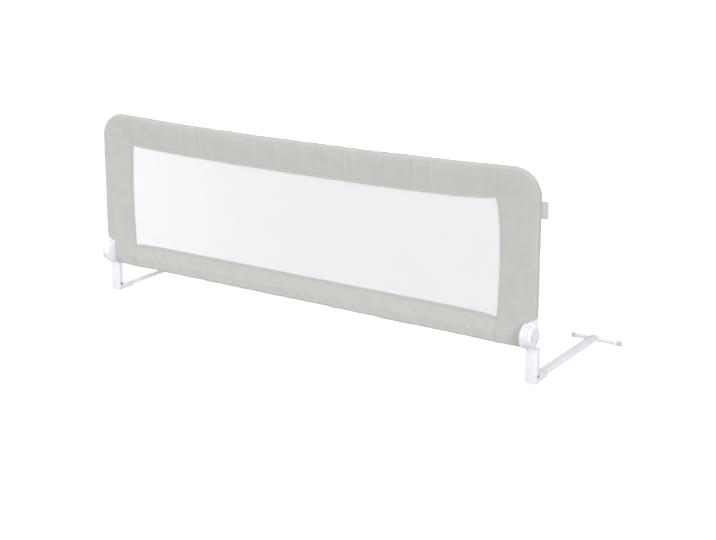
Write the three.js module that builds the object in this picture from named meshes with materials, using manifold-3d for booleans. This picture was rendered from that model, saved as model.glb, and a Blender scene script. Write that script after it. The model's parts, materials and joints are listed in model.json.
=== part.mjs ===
// Folding guard rail for the long side of a bed: a fabric-covered panel with a
// mesh window, hinged low down on two short posts, whose flat arms slide under
// the mattress and end in bracing bars. Millimetres; +X along the rail, +Y from
// the panel towards the mattress, +Z up. The origin is the middle of the whole
// rail, on the surface it stands on.
import * as THREE from "three";
import { mergeVertices } from "three/addons/utils/BufferGeometryUtils.js";
import Module from "manifold-3d";

const wasm = await Module();
wasm.setup();

// Driving dimensions
const rail_length = 1500;
const rail_height = 572;
const panel_bottom = 96;
const hinge_height = 132;
const arm_reach = 388;

// Flat tube used for the panel frame and the arms
const tube_width = 25;
const tube_depth = 13.5;
const tube_wall = 1.2;
const tube_edge_radius = 5.5;

// Play between pieces
const fit_gap = 0.3;
const running_gap = 0.4;
const overrun = 5;

// Panel frame
const panel_offset = 9;
const corner_radius = 74;
const top_sag = 10;
const joiner_length = 120;
const spigot_length = 34;
const pin_radius = 2.2;
const pin_depth = 7;
const pin_rise = 16;

// Fabric cover and mesh window
const cover_wall = 1.5;
const cover_clearance = 0.4;
const cover_lap = 0.4;
const cover_hem_width = 10;
const cover_hem_depth = 4;
const top_border = 97;
const bottom_border = 75;
const side_border = 117;
const window_side_bow = 5;
const mesh_thickness = 1.2;
const seam_gap = 0.3;
const tag_width = 20;
const tag_length = 44;
const tag_thickness = 1.2;
const tag_drop = 28.5;

// Opening in the cover's lower corners, where the hinges come through
const notch_rise = 12;
const notch_top_clearance = 3;
const notch_high_radius = 6;
const notch_low_radius = 16;

// Hinge, in layers along X
const inner_disc_radius = 33;
const outer_disc_radius = 27.5;
const tongue_radius = 30;
const boss_radius = 22.5;
const inner_disc_thickness = 11;
const outer_disc_thickness = 11;
const tongue_thickness = 8.5;
const disc_edge_radius = 3;
const shoulder_rise = 1.5;
const shoulder_length = 7.5;
const hinge_floor = 2;

// Lock plunger with its push button, and its spring
const plunger_radius = 8;
const plunger_wall = 2.2;
const button_stand = 1.2;
const button_crown = 1;
const button_travel = 4.5;
const dog_width = 5;
const dog_thickness = 3;
const dog_reach = 26.4;
const dog_set_back = 0.9;
const spring_wire = 1;
const spring_radius = 4.4;
const spring_turns = 6;

// Screws of the hinge's outer half
const screw_circle = 17.5;
const screw_head_radius = 3.5;
const screw_head_height = 2;
const screw_recess = 2.6;
const screw_radius = 1.6;
const screw_length = 17;
const screw_slot_width = 1;
const screw_slot_depth = 1;

// Posts
const post_inset = 2.6;
const post_offset = 20.5;
const post_width = 35;
const post_depth = 20;
const post_wall = 1.5;
const post_edge_radius = 6;
const collar_thickness = 2;
const collar_clearance = 2;
const plug_share = 0.425;
const stem_front = 2;
const stem_back = 28;
const stem_rise = 20;
const base_screw_drop = 20;

// Feet: a connector in each post takes the arm
const socket_height = 20;
const socket_length = 43;
const socket_insert = 38;
const arm_neck = 0.4;
const peg_share = 0.48;
const peg_lift = 0.6;
const web_width = 24;
const web_height = 17;
const foot_bolt_height = 20;
const foot_bolt_radius = 3;
const foot_bolt_length = 14;
const foot_thread_radius = 1.8;
const foot_thread_length = 8;
const foot_bolt_head_radius = 4.4;
const foot_bolt_head_height = 1.4;
const arm_screw_set_back = 16;
const arm_screw_length = 5.2;
const arm_screw_head_height = 1.6;

// Bracing bars at the ends of the arms
const brace_length = 150;
const brace_shift = 8;
const brace_radius = 5.5;
const brace_wall = 1;
const brace_cap_radius = 6.6;
const brace_cap_length = 10;
const brace_cap_end = 2;
const brace_cap_edge = 1.5;
const arm_lap = 3;

// Angles of the lock dogs and of the screws, seen from the rail's right end,
// counted from +Y towards +Z
const dog_angles = [60, 240];
const front_screw_angle = 170;
const rear_screw_angle = 310;

// Steps that round shapes are drawn with
const corner_steps = 3;
const edge_steps = 2;
const bend_steps = 6;
const span_steps = 4;
const round_steps = 24;
const small_round_steps = 12;
const brace_steps = 16;
const edge_limit_share = 0.45;
const spring_steps_per_turn = 8;
const spring_sides = 5;

// Worked out from the sizes above
const rail_half = rail_length / 2;
const cover_stand_off = cover_wall + cover_clearance;
const cover_half_depth = tube_depth / 2 + cover_stand_off;
const upright_x = rail_half - cover_stand_off - tube_width / 2;
const bend_radius = corner_radius - cover_stand_off - tube_width / 2;
const straight_half = upright_x - bend_radius;
const end_top = rail_height - cover_stand_off - tube_width / 2;
const bend_centre_z = end_top - bend_radius;
const bottom_tube_z = panel_bottom + cover_stand_off + tube_width / 2;
const seam_x = rail_half - side_border;

const outer_face_x = upright_x + tube_width / 2;
const split_x = outer_face_x - outer_disc_thickness;
const tongue_outer_x = split_x - running_gap;
const tongue_inner_x = tongue_outer_x - tongue_thickness;
const inner_disc_x = tongue_inner_x - running_gap;
const inner_face_x = inner_disc_x - inner_disc_thickness;
const notch_x = inner_face_x - running_gap;
const disc_top = Math.max(inner_disc_radius, tongue_radius);
const upright_foot_z = hinge_height + disc_top + shoulder_rise;
const notch_top = upright_foot_z + notch_top_clearance;
const shoulder_end_x = inner_face_x - shoulder_length;
const bottom_tube_end_x = shoulder_end_x - fit_gap;

const post_x = upright_x - post_inset;
const post_rear_y = post_offset + post_depth / 2;
const rotor_bottom = Math.min(hinge_height - disc_top, bottom_tube_z - tube_width / 2);
const collar_top = rotor_bottom - collar_clearance;
const post_top = collar_top - collar_thickness;
const plug_length = post_top * plug_share;
const peg_height = post_top * peg_share;
const socket_end_y = post_rear_y + fit_gap + socket_length;
const brace_y = post_offset + arm_reach;
const brace_x = post_x + brace_shift;
const brace_z = brace_cap_radius;
const arm_z = socket_height / 2;

const dog_inner_x = tongue_inner_x + dog_set_back;
const dog_outer_x = dog_inner_x + dog_thickness;
const plunger_end_x = outer_face_x + button_stand;
const plunger_inner_x = inner_face_x + hinge_floor + button_travel + running_gap;
const plunger_roof_x = outer_face_x - outer_disc_thickness / 2;

const front_y = -inner_disc_radius;
const rear_y = brace_y + brace_cap_radius;
const frame_shift_y = -(front_y + rear_y) / 2;

// Finishes
function finish(color, roughness, metalness) {
  return new THREE.MeshStandardMaterial({ color, roughness, metalness });
}
const white_paint = finish(0xeeeef4, 0.4, 0.1);
const white_plastic = finish(0xf0f1f6, 0.5, 0);
const grey_rubber = finish(0xc8c9cb, 0.8, 0);
const zinc_steel = finish(0xb4b6b8, 0.35, 0.9);
const warm_grey_fabric = finish(0xc9c8c5, 0.9, 0);
const white_mesh = finish(0xf4f5f7, 0.85, 0);
const white_tape = finish(0xc2c2c4, 0.9, 0);

// Solids: geometries become closed solids, which can be joined and cut
function solidOf(geometry) {
  const bare = geometry.clone();
  bare.deleteAttribute("normal");
  bare.deleteAttribute("uv");
  const merged = mergeVertices(bare);
  return new wasm.Manifold(
    new wasm.Mesh({
      numProp: 3,
      vertProperties: new Float32Array(merged.attributes.position.array),
      triVerts: new Uint32Array(merged.index.array),
    }),
  );
}

function geometryOf(solid) {
  const mesh = solid.getMesh();
  const geometry = new THREE.BufferGeometry();
  geometry.setAttribute("position", new THREE.BufferAttribute(mesh.vertProperties, 3));
  geometry.setIndex(new THREE.BufferAttribute(mesh.triVerts, 1));
  geometry.computeVertexNormals();
  return geometry;
}

function join(...solids) {
  return solids.reduce((all, next) => all.add(next));
}

function cut(body, ...tools) {
  return tools.reduce((left, tool) => left.subtract(tool), body);
}

function block(x0, x1, y0, y1, z0, z1) {
  const geometry = new THREE.BoxGeometry(x1 - x0, y1 - y0, z1 - z0);
  geometry.translate((x0 + x1) / 2, (y0 + y1) / 2, (z0 + z1) / 2);
  return solidOf(geometry);
}

function rodAlongX(radius, x0, x1, y, z, sides = round_steps) {
  const geometry = new THREE.CylinderGeometry(radius, radius, x1 - x0, sides);
  geometry.rotateZ(Math.PI / 2);
  geometry.translate((x0 + x1) / 2, y, z);
  return solidOf(geometry);
}

function rodAlongY(radius, y0, y1, x, z) {
  const geometry = new THREE.CylinderGeometry(radius, radius, y1 - y0, small_round_steps);
  geometry.translate(x, (y0 + y1) / 2, z);
  return solidOf(geometry);
}

function rodAlongZ(radius, z0, z1, x, y) {
  const geometry = new THREE.CylinderGeometry(radius, radius, z1 - z0, small_round_steps);
  geometry.rotateX(Math.PI / 2);
  geometry.translate(x, y, (z0 + z1) / 2);
  return solidOf(geometry);
}

// A profile of [radius, x] pairs, from the axis back to the axis, turned about X
// round a place; its x runs to the right where side is 1, to the left where -1
function turnedAlongX(profile, [x, y, z], sides = round_steps, side = 1) {
  const points = profile.map(([radius, along]) => new THREE.Vector2(radius, along));
  const geometry = new THREE.LatheGeometry(points, sides);
  geometry.rotateZ((-side * Math.PI) / 2);
  geometry.translate(x, y, z);
  return solidOf(geometry);
}

// Points of a quarter round from one angle to the next, in degrees
function roundEdge(centre_u, centre_v, radius, from, to, steps = corner_steps) {
  return Array.from({ length: steps + 1 }, (_, i) => {
    const angle = THREE.MathUtils.degToRad(from + ((to - from) * i) / steps);
    return [centre_u + radius * Math.cos(angle), centre_v + radius * Math.sin(angle)];
  });
}

// Outline of a flat tube or bar, as [across, through] pairs
function roundedSection(width, depth, radius) {
  const edge = Math.min(radius, edge_limit_share * Math.min(width, depth));
  const u = width / 2 - edge;
  const v = depth / 2 - edge;
  return [
    ...roundEdge(u, -v, edge, -90, 0),
    ...roundEdge(u, v, edge, 0, 90),
    ...roundEdge(-u, v, edge, 90, 180),
    ...roundEdge(-u, -v, edge, 180, 270),
  ];
}

// A closed body through rings of points, each ring with the same count
function loft(rings, outline) {
  const count = outline.length;
  const positions = rings.flat(2);
  const faces = [];
  rings.slice(1).forEach((_, i) => {
    for (let j = 0; j < count; j++) {
      const a = i * count + j;
      const b = i * count + ((j + 1) % count);
      faces.push(a, b, b + count, a, b + count, a + count);
    }
  });
  const flat = outline.map(([u, v]) => new THREE.Vector2(u, v));
  const last = (rings.length - 1) * count;
  THREE.ShapeUtils.triangulateShape(flat, []).forEach(([a, b, c]) => {
    faces.push(c, b, a, last + a, last + b, last + c);
  });
  const geometry = new THREE.BufferGeometry();
  geometry.setAttribute("position", new THREE.Float32BufferAttribute(positions, 3));
  geometry.setIndex(faces);
  if (signedVolume(geometry) < 0) geometry.index.array.reverse();
  return solidOf(geometry);
}

function signedVolume(geometry) {
  const points = geometry.attributes.position;
  const corner = (i) => new THREE.Vector3().fromBufferAttribute(points, geometry.index.getX(i));
  let sum = 0;
  for (let i = 0; i < geometry.index.count; i += 3) {
    sum += corner(i).dot(corner(i + 1).cross(corner(i + 2)));
  }
  return sum;
}

// Straight bars with a given outline, along each axis
function barAlongX(outline, x0, x1, y, z) {
  return loft([x0, x1].map((x) => outline.map(([u, v]) => [x, y + v, z + u])), outline);
}

function barAlongY(outline, y0, y1, x, z) {
  return loft([y0, y1].map((y) => outline.map(([u, v]) => [x + u, y, z + v])), outline);
}

function barAlongZ(outline, z0, z1, x, y) {
  return loft([z0, z1].map((z) => outline.map(([u, v]) => [x + u, y + v, z])), outline);
}

// Height of the top tube's centre line, which hangs a little in mid-span
function topCentre(x) {
  return end_top - top_sag * (1 - (x / straight_half) ** 2);
}

// Outer edge of the cover along the top
function topEdge(x) {
  return topCentre(x) + tube_width / 2 + cover_stand_off;
}

// The window's side edges bow outwards between its corners
function windowSide(z) {
  const low = panel_bottom + bottom_border;
  const high = topEdge(seam_x) - top_border;
  const share = (2 * z - low - high) / (high - low);
  return seam_x + window_side_bow * (1 - share ** 2);
}

// Centre line of the right-hand corner tube, from a height on its upright, round
// the corner, to a place along the top
function cornerPath(from_z, to_x) {
  const bend = Array.from({ length: bend_steps + 1 }, (_, i) => {
    const angle = (Math.PI / 2) * (i / bend_steps);
    return [
      straight_half + bend_radius * Math.cos(angle),
      bend_centre_z + bend_radius * Math.sin(angle),
    ];
  });
  const top = Array.from({ length: span_steps }, (_, i) => {
    const x = straight_half + ((to_x - straight_half) * (i + 1)) / span_steps;
    return [x, topCentre(x)];
  });
  return [[upright_x, from_z], ...bend, ...top];
}

// Carries an outline along a path in the panel's plane; its across direction
// points out of the panel
function sweep(path, outline) {
  const rings = path.map(([x, z], i) => {
    const [ax, az] = path[Math.max(i - 1, 0)];
    const [bx, bz] = path[Math.min(i + 1, path.length - 1)];
    const length = Math.hypot(bx - ax, bz - az);
    const out_x = (bz - az) / length;
    const out_z = (ax - bx) / length;
    return outline.map(([u, v]) => [x + out_x * u, panel_offset + v, z + out_z * u]);
  });
  return loft(rings, outline);
}

const tube_outline = roundedSection(tube_width, tube_depth, tube_edge_radius);
const tube_bore_outline = roundedSection(
  tube_width - 2 * tube_wall,
  tube_depth - 2 * tube_wall,
  tube_edge_radius - tube_wall,
);
const spigot_outline = roundedSection(
  tube_width - 2 * tube_wall - 2 * fit_gap,
  tube_depth - 2 * tube_wall - 2 * fit_gap,
  tube_edge_radius - tube_wall - fit_gap,
);
const pin_z = upright_foot_z + pin_rise;
const panel_rear_y = panel_offset + tube_depth / 2;

function pinHole() {
  const y0 = panel_rear_y - pin_depth - fit_gap;
  return rodAlongY(pin_radius + fit_gap, y0, panel_rear_y + overrun, upright_x, pin_z);
}

// Panel frame
function cornerTube() {
  const bore = cornerPath(upright_foot_z - overrun, fit_gap / 2 - overrun);
  return cut(
    sweep(cornerPath(upright_foot_z, fit_gap / 2), tube_outline),
    sweep(bore, tube_bore_outline),
    pinHole(),
  );
}

function uprightPin() {
  const y0 = panel_rear_y - pin_depth;
  return rodAlongY(pin_radius, y0, panel_rear_y - fit_gap / 2, upright_x, pin_z);
}

function bottomTube() {
  return cut(
    barAlongX(tube_outline, fit_gap / 2, bottom_tube_end_x, panel_offset, bottom_tube_z),
    barAlongX(tube_bore_outline, -overrun, rail_half, panel_offset, bottom_tube_z),
  );
}

function topJoiner() {
  const half = joiner_length / 2;
  const path = [half, 0, -half].map((x) => [x, topCentre(x)]);
  return sweep(path, spigot_outline);
}

function bottomJoiner() {
  const half = joiner_length / 2;
  return barAlongX(spigot_outline, -half, half, panel_offset, bottom_tube_z);
}

// Section of a border: the sleeve goes round the tube, then narrows to a flat hem
// at the window. Pairs of [distance in from the outer edge, depth]. The inside
// of the sleeve lies one wall further in, and lap makes the whole section flatter.
function borderSection(border, wall, lap) {
  const half = cover_half_depth - wall - lap;
  const edge = Math.min(tube_edge_radius + cover_stand_off - wall, half * 2 * edge_limit_share);
  const tube_side = tube_width + 2 * cover_stand_off;
  const tip = wall ? seam_gap : cover_hem_depth / 2;
  const end = wall ? border - cover_hem_width : border;
  const side = [
    ...roundEdge(wall + edge, half - edge, edge, 180, 90),
    [tube_side, half],
    [end - tip, tip],
    [end, tip / 2],
  ];
  return [...side.map(([u, v]) => [u, -v]), ...side.reverse()];
}

function topBorderBody(from_x, to_x, wall, lap) {
  const outline = borderSection(top_border, wall, lap);
  const rings = Array.from({ length: 2 * span_steps + 1 }, (_, i) => {
    const x = from_x + ((to_x - from_x) * i) / (2 * span_steps);
    return outline.map(([u, v]) => [x, panel_offset + v, topEdge(x) - u]);
  });
  return loft(rings, outline);
}

function bottomBorderBody(from_x, to_x, wall, lap) {
  const outline = borderSection(bottom_border, wall, lap);
  return barAlongX(outline, from_x, to_x, panel_offset, panel_bottom);
}

function sideBorderBody(wall, lap) {
  const outline = borderSection(side_border, wall, lap);
  const rings = [panel_bottom, rail_height].map((z) =>
    outline.map(([u, v]) => [rail_half - u, panel_offset + v, z]),
  );
  return loft(rings, outline);
}

function coverTop() {
  const end = seam_x - seam_gap / 2;
  return cut(
    topBorderBody(-end, end, 0, 0),
    topBorderBody(-seam_x, seam_x, cover_wall, 0),
  );
}

function coverBottom() {
  const end = seam_x - seam_gap / 2;
  return cut(
    bottomBorderBody(-end, end, 0, 0),
    bottomBorderBody(-seam_x, seam_x, cover_wall, 0),
  );
}

// A shape in the panel's plane, made deeper than the cover
function panelPlate(shape) {
  const depth = 2 * (cover_half_depth + overrun);
  const geometry = new THREE.ExtrudeGeometry(shape, {
    depth,
    bevelEnabled: false,
    curveSegments: corner_steps,
  });
  geometry.rotateX(Math.PI / 2);
  geometry.translate(0, panel_offset + depth / 2, 0);
  return solidOf(geometry);
}

// Face of the right-hand side of the cover. The outer edges lie in by inset and
// the window edge by hem.
function sidePlate(inset, hem) {
  const low = panel_bottom + inset;
  const outer = rail_half - inset;
  const window_low = panel_bottom + bottom_border;
  const window_high = topEdge(seam_x) - top_border;
  const start_x = seam_x + seam_gap / 2 + hem;
  const shape = new THREE.Shape();
  shape.moveTo(start_x, low);
  shape.lineTo(outer, low);
  shape.lineTo(outer, bend_centre_z);
  shape.absarc(straight_half, bend_centre_z, corner_radius - inset, 0, Math.PI / 2, false);
  shape.lineTo(start_x, topEdge(seam_x) - inset);
  for (let i = 0; i <= bend_steps; i++) {
    const z = window_high + ((window_low - window_high) * i) / bend_steps;
    shape.lineTo(windowSide(z) + seam_gap / 2 + hem, z);
  }
  return panelPlate(shape);
}

// The opening in the cover's lower corner that the hinge comes through
function hingeOpening() {
  const low = panel_bottom - overrun;
  const outer = rail_half + overrun;
  const shape = new THREE.Shape();
  shape.moveTo(notch_x - notch_low_radius, low);
  shape.lineTo(notch_x - notch_low_radius, panel_bottom);
  shape.absarc(
    notch_x - notch_low_radius,
    panel_bottom + notch_low_radius,
    notch_low_radius,
    -Math.PI / 2,
    0,
    false,
  );
  shape.lineTo(notch_x, notch_top - notch_high_radius);
  shape.absarc(
    notch_x + notch_high_radius,
    notch_top - notch_high_radius,
    notch_high_radius,
    Math.PI,
    Math.PI / 2,
    true,
  );
  shape.lineTo(rail_half, notch_top + notch_rise);
  shape.lineTo(outer, notch_top + notch_rise);
  shape.lineTo(outer, low);
  return panelPlate(shape);
}

function coverSide() {
  const middle = cover_stand_off + tube_width / 2;
  const past_seam = seam_x - overrun;
  const sleeve_outline = roundedSection(
    tube_width + 2 * cover_stand_off,
    tube_depth + 2 * cover_stand_off,
    tube_edge_radius + cover_stand_off,
  );
  const channel_outline = roundedSection(
    tube_width + 2 * cover_clearance,
    tube_depth + 2 * cover_clearance,
    tube_edge_radius + cover_clearance,
  );
  const tubes = (outline) =>
    join(
      sweep(cornerPath(upright_foot_z - overrun, past_seam), outline),
      barAlongX(outline, past_seam, notch_x + overrun, panel_offset, bottom_tube_z),
    );
  const borders = (wall) =>
    join(
      sideBorderBody(wall, cover_lap),
      topBorderBody(past_seam, rail_half, wall, cover_lap),
      bottomBorderBody(past_seam, rail_half, wall, cover_lap),
    );
  const outside = join(
    tubes(sleeve_outline),
    borders(0).intersect(sidePlate(middle, -overrun)),
  ).intersect(sidePlate(-overrun, 0));
  const inside = borders(cover_wall).intersect(sidePlate(middle, cover_hem_width));
  return cut(outside, join(inside, tubes(channel_outline)), hingeOpening());
}

function meshWindow() {
  const shape = new THREE.Shape();
  const low = panel_bottom + bottom_border + seam_gap;
  const high = topEdge(seam_x) - top_border - seam_gap;
  const inner = seam_x - seam_gap;
  const steps = 2 * span_steps;
  const corners = [];
  for (let i = 0; i <= steps; i++) {
    const x = inner - (2 * inner * i) / steps;
    corners.push([x, topEdge(x) - top_border - seam_gap]);
  }
  for (let i = 1; i <= bend_steps; i++) {
    const z = high + ((low - high) * i) / bend_steps;
    corners.push([-(windowSide(z) - seam_gap), z]);
  }
  for (let i = 0; i < bend_steps; i++) {
    const z = low + ((high - low) * i) / bend_steps;
    corners.push([windowSide(z) - seam_gap, z]);
  }
  shape.setFromPoints(corners.map(([x, z]) => new THREE.Vector2(x, z)));
  const geometry = new THREE.ExtrudeGeometry(shape, {
    depth: mesh_thickness,
    bevelEnabled: false,
  });
  geometry.rotateX(Math.PI / 2);
  geometry.translate(0, panel_offset + mesh_thickness / 2, 0);
  return solidOf(geometry);
}

// A folded tape sewn into the cover's right-hand edge
function sideTag() {
  const x0 = rail_half + seam_gap;
  const y0 = panel_offset - tag_thickness / 2;
  const z0 = bend_centre_z - tag_drop - tag_length / 2;
  return block(x0, x0 + tag_width, y0, y0 + tag_thickness, z0, z0 + tag_length);
}

// Hinge: place of a point at a radius and an angle round the hinge axis
function onDisc(radius, degrees) {
  const angle = THREE.MathUtils.degToRad(degrees);
  return [radius * Math.cos(angle), hinge_height + radius * Math.sin(angle)];
}

// A bar from the hinge axis outwards at an angle
function spoke(angle, reach, width, x0, x1) {
  const geometry = new THREE.BoxGeometry(x1 - x0, reach, width);
  geometry.translate((x0 + x1) / 2, reach / 2, 0);
  geometry.rotateX(THREE.MathUtils.degToRad(angle));
  geometry.translate(0, 0, hinge_height);
  return solidOf(geometry);
}

function screwHoles() {
  return [front_screw_angle, rear_screw_angle].flatMap((angle) => {
    const [y, z] = onDisc(screw_circle, angle);
    const seat = outer_face_x - screw_recess - screw_head_height;
    const head = screw_head_radius + fit_gap;
    return [
      rodAlongX(head, seat, outer_face_x + overrun, y, z, small_round_steps),
      rodAlongX(
        screw_radius + fit_gap,
        seat - screw_length - fit_gap,
        outer_face_x,
        y,
        z,
        small_round_steps,
      ),
    ];
  });
}

// The neck that stands on the discs, as wide as they are, and the spigot in the
// upright's foot
function neck(x0, x1) {
  const neck_outline = roundedSection(
    outer_face_x - inner_face_x,
    2 * cover_half_depth,
    tube_edge_radius,
  );
  const whole = join(
    barAlongZ(
      neck_outline,
      hinge_height,
      upright_foot_z - fit_gap,
      (inner_face_x + outer_face_x) / 2,
      panel_offset,
    ),
    barAlongZ(
      spigot_outline,
      hinge_height,
      upright_foot_z + spigot_length,
      upright_x,
      panel_offset,
    ),
  );
  const depth = cover_half_depth + overrun;
  return whole.intersect(
    block(
      x0,
      x1,
      panel_offset - depth,
      panel_offset + depth,
      hinge_height,
      upright_foot_z + spigot_length + overrun,
    ),
  );
}

function plungerRoom(x1) {
  const x0 = inner_face_x + hinge_floor;
  return rodAlongX(plunger_radius + fit_gap, x0, x1, 0, hinge_height);
}

function dogRoom() {
  return dog_angles.map((angle) =>
    spoke(
      angle,
      dog_reach + running_gap,
      dog_width + 2 * fit_gap,
      dog_inner_x - button_travel - running_gap,
      split_x + overrun,
    ),
  );
}

function hingeInnerHalf() {
  const edge = disc_edge_radius;
  const disc = turnedAlongX(
    [
      [0, inner_face_x],
      ...roundEdge(inner_disc_radius - edge, inner_face_x + edge, edge, 270, 360, edge_steps),
      [inner_disc_radius, inner_disc_x],
      [0, inner_disc_x],
    ],
    [0, 0, hinge_height],
  );
  const neck_part = cut(
    neck(upright_x - tube_width, split_x - fit_gap / 2),
    rodAlongX(
      tongue_radius + running_gap,
      inner_disc_x,
      split_x + overrun,
      0,
      hinge_height,
    ),
  );
  const boss = rodAlongX(boss_radius, inner_disc_x - fit_gap, split_x - fit_gap, 0, hinge_height);
  const shoulder = barAlongX(
    tube_outline,
    shoulder_end_x,
    inner_disc_x - fit_gap,
    panel_offset,
    bottom_tube_z,
  );
  const spigot = barAlongX(
    spigot_outline,
    shoulder_end_x - spigot_length,
    inner_disc_x - fit_gap,
    panel_offset,
    bottom_tube_z,
  );
  // Web inside the disc, from its middle down to the bottom tube's spigot
  const half_web = tube_depth / 2 - fit_gap;
  const web = block(
    inner_face_x + edge,
    inner_disc_x - fit_gap,
    panel_offset - half_web,
    panel_offset + half_web,
    bottom_tube_z,
    hinge_height,
  );
  return cut(
    join(disc, neck_part, boss, shoulder, spigot, web),
    plungerRoom(split_x + overrun),
    ...dogRoom(),
    ...screwHoles(),
    pinHole(),
  );
}

function hingeOuterHalf() {
  const edge = disc_edge_radius;
  const disc = turnedAlongX(
    [
      [0, split_x],
      [outer_disc_radius, split_x],
      ...roundEdge(outer_disc_radius - edge, outer_face_x - edge, edge, 0, 90, edge_steps),
      [0, outer_face_x],
    ],
    [0, 0, hinge_height],
  );
  return cut(
    join(disc, neck(split_x, upright_x + tube_width)),
    plungerRoom(outer_face_x + overrun),
    ...screwHoles(),
    pinHole(),
  );
}

function hingeScrew(angle) {
  const [y, z] = onDisc(screw_circle, angle);
  const seat = outer_face_x - screw_recess - screw_head_height + fit_gap / 2;
  const top = seat + screw_head_height;
  const body = join(
    rodAlongX(screw_head_radius, seat, top, y, z, small_round_steps),
    rodAlongX(screw_radius, seat - screw_length, seat + fit_gap, y, z, small_round_steps),
  );
  const reach = screw_head_radius - screw_slot_width / 2;
  const half = screw_slot_width / 2;
  const slot_x = top - screw_slot_depth;
  return cut(
    body,
    block(slot_x, top + overrun, y - reach, y + reach, z - half, z + half),
    block(slot_x, top + overrun, y - half, y + half, z - reach, z + reach),
  );
}

// Plunger: its outer end is the push button, its dogs reach into the tongue
function releaseButton() {
  const bore = plunger_radius - plunger_wall;
  const body = turnedAlongX(
    [
      [0, plunger_roof_x],
      [bore, plunger_roof_x],
      [bore, plunger_inner_x],
      [plunger_radius, plunger_inner_x],
      ...roundEdge(
        plunger_radius - button_crown,
        plunger_end_x - button_crown,
        button_crown,
        0,
        90,
        edge_steps,
      ),
      [0, plunger_end_x],
    ],
    [0, 0, hinge_height],
  );
  const dogs = dog_angles.map((angle) =>
    cut(
      spoke(angle, dog_reach, dog_width, dog_inner_x, dog_outer_x),
      rodAlongX(bore + fit_gap, inner_face_x, outer_face_x, 0, hinge_height),
    ),
  );
  return join(body, ...dogs);
}

class Coil extends THREE.Curve {
  getPoint(t, target = new THREE.Vector3()) {
    const angle = 2 * Math.PI * spring_turns * t;
    const x0 = inner_face_x + hinge_floor + fit_gap + spring_wire / 2;
    const x1 = plunger_roof_x - fit_gap - spring_wire / 2;
    return target.set(
      x0 + (x1 - x0) * t,
      spring_radius * Math.cos(angle),
      hinge_height + spring_radius * Math.sin(angle),
    );
  }
}

function buttonSpring() {
  const wire = new THREE.Shape();
  wire.setFromPoints(
    Array.from({ length: spring_sides }, (_, i) => {
      const angle = (2 * Math.PI * i) / spring_sides;
      const radius = spring_wire / 2;
      return new THREE.Vector2(radius * Math.cos(angle), radius * Math.sin(angle));
    }),
  );
  const geometry = new THREE.ExtrudeGeometry(wire, {
    steps: spring_turns * spring_steps_per_turn,
    extrudePath: new Coil(),
    bevelEnabled: false,
  });
  return solidOf(geometry);
}

// Fixed half of the hinge: a tongue between the discs, on a plug in the post
function hingeBase() {
  const bore = boss_radius + running_gap;
  const channel = dog_reach + running_gap;
  const channel_x = dog_outer_x + running_gap;
  const stem = block(
    tongue_inner_x,
    tongue_outer_x,
    stem_front,
    stem_back,
    collar_top - collar_thickness / 2,
    hinge_height - stem_rise,
  );
  const ring = cut(
    join(rodAlongX(tongue_radius, tongue_inner_x, tongue_outer_x, 0, hinge_height), stem),
    rodAlongX(bore, inner_face_x, outer_face_x, 0, hinge_height),
    rodAlongX(channel, inner_face_x, channel_x, 0, hinge_height),
  );
  const collar = barAlongZ(
    roundedSection(post_width, post_depth, post_edge_radius),
    post_top + fit_gap,
    collar_top,
    post_x,
    post_offset,
  );
  const plug = cut(
    barAlongZ(
      roundedSection(
        post_width - 2 * post_wall - 2 * fit_gap,
        post_depth - 2 * post_wall - 2 * fit_gap,
        post_edge_radius - post_wall - fit_gap,
      ),
      post_top - plug_length,
      post_top + fit_gap + collar_thickness / 2,
      post_x,
      post_offset,
    ),
    rodAlongY(
      screw_radius + fit_gap,
      post_offset - fit_gap,
      post_rear_y + overrun,
      post_x,
      post_top - base_screw_drop,
    ),
  );
  return join(ring, collar, plug);
}

function hingeBaseScrew() {
  const z = post_top - base_screw_drop;
  const seat = post_rear_y + fit_gap;
  return join(
    rodAlongY(screw_head_radius, seat, seat + screw_head_height, post_x, z),
    rodAlongY(screw_radius, post_offset, seat + fit_gap, post_x, z),
  );
}

// Post: flat tube with a slot in its rear wall for the foot connector's web
function post() {
  return cut(
    barAlongZ(
      roundedSection(post_width, post_depth, post_edge_radius),
      0,
      post_top,
      post_x,
      post_offset,
    ),
    barAlongZ(
      roundedSection(
        post_width - 2 * post_wall,
        post_depth - 2 * post_wall,
        post_edge_radius - post_wall,
      ),
      -overrun,
      post_top + overrun,
      post_x,
      post_offset,
    ),
    block(
      post_x - web_width / 2 - fit_gap,
      post_x + web_width / 2 + fit_gap,
      post_offset,
      post_rear_y + overrun,
      -overrun,
      web_height + fit_gap,
    ),
    rodAlongX(
      foot_bolt_radius + fit_gap,
      post_x - post_width,
      post_x + post_width,
      post_offset,
      foot_bolt_height,
      small_round_steps,
    ),
    rodAlongY(
      screw_radius + fit_gap,
      post_offset,
      post_rear_y + overrun,
      post_x,
      post_top - base_screw_drop,
    ),
  );
}

// Section of the arm's end or of the socket, grown on all sides from the tube's
function armSection(grow) {
  return roundedSection(
    tube_width + 2 * grow,
    tube_depth + 2 * grow,
    tube_edge_radius + grow,
  );
}

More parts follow.
